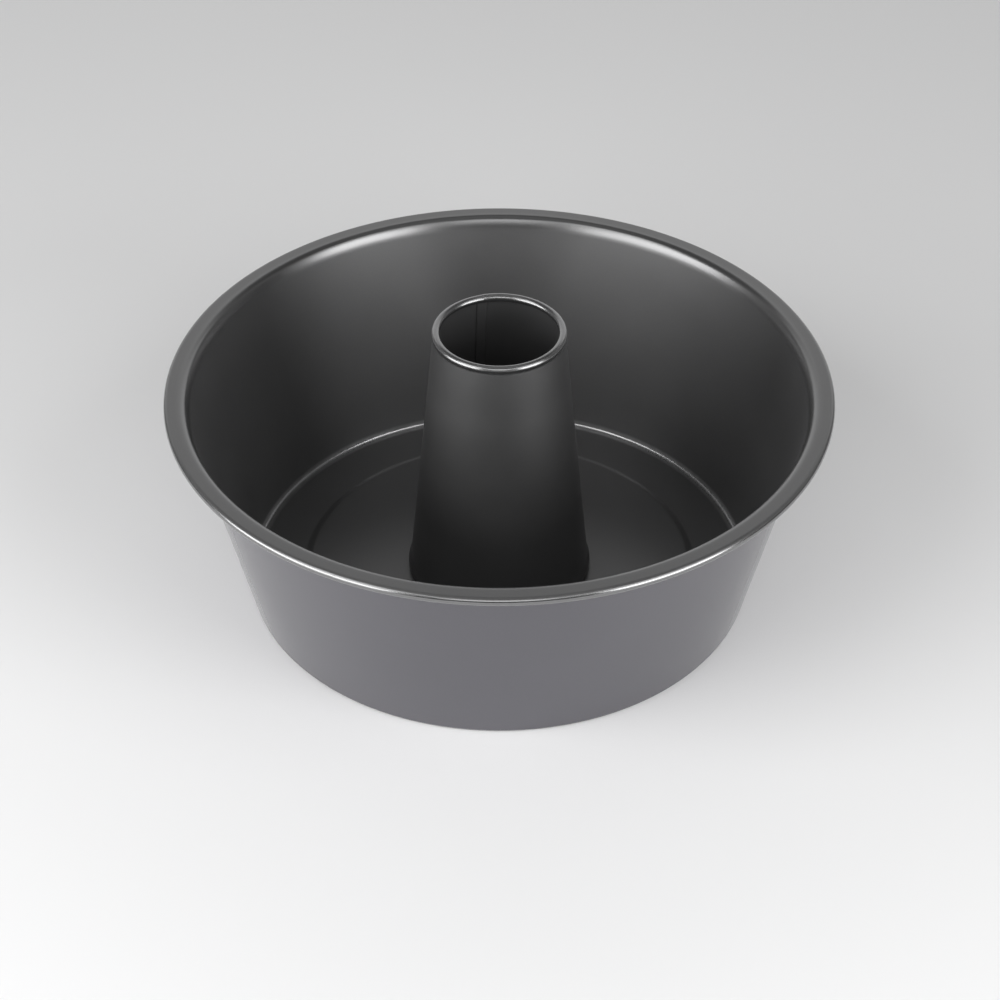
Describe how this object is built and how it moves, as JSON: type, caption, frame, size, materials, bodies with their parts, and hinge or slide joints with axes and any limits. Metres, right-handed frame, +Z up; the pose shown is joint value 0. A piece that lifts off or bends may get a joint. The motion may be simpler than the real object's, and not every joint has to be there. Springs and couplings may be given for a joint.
{
  "type": "flan pan",
  "caption": "Round flan pan in coated steel sheet: a deep tapered shell with a flat rolled rim and a tall tapered tube fixed upright in the middle of its floor.",
  "frame": {"origin": "on the pan's axis, at the level of the flat ring that it stands on", "axes": "+Z up along the pan's axis, -Y towards the viewer of the picture, +X to that viewer's right"},
  "size_m": [0.24, 0.24, 0.107],
  "materials": {
    "shell_coating": "satin",
    "tube_coating": "satin",
    "wire_steel": "satin"
  },
  "bodies": {
    "root": {"pan_shell": "shell_coating", "centre_tube": "tube_coating", "rim_wire": "wire_steel"}
  },
  "joints": []
}
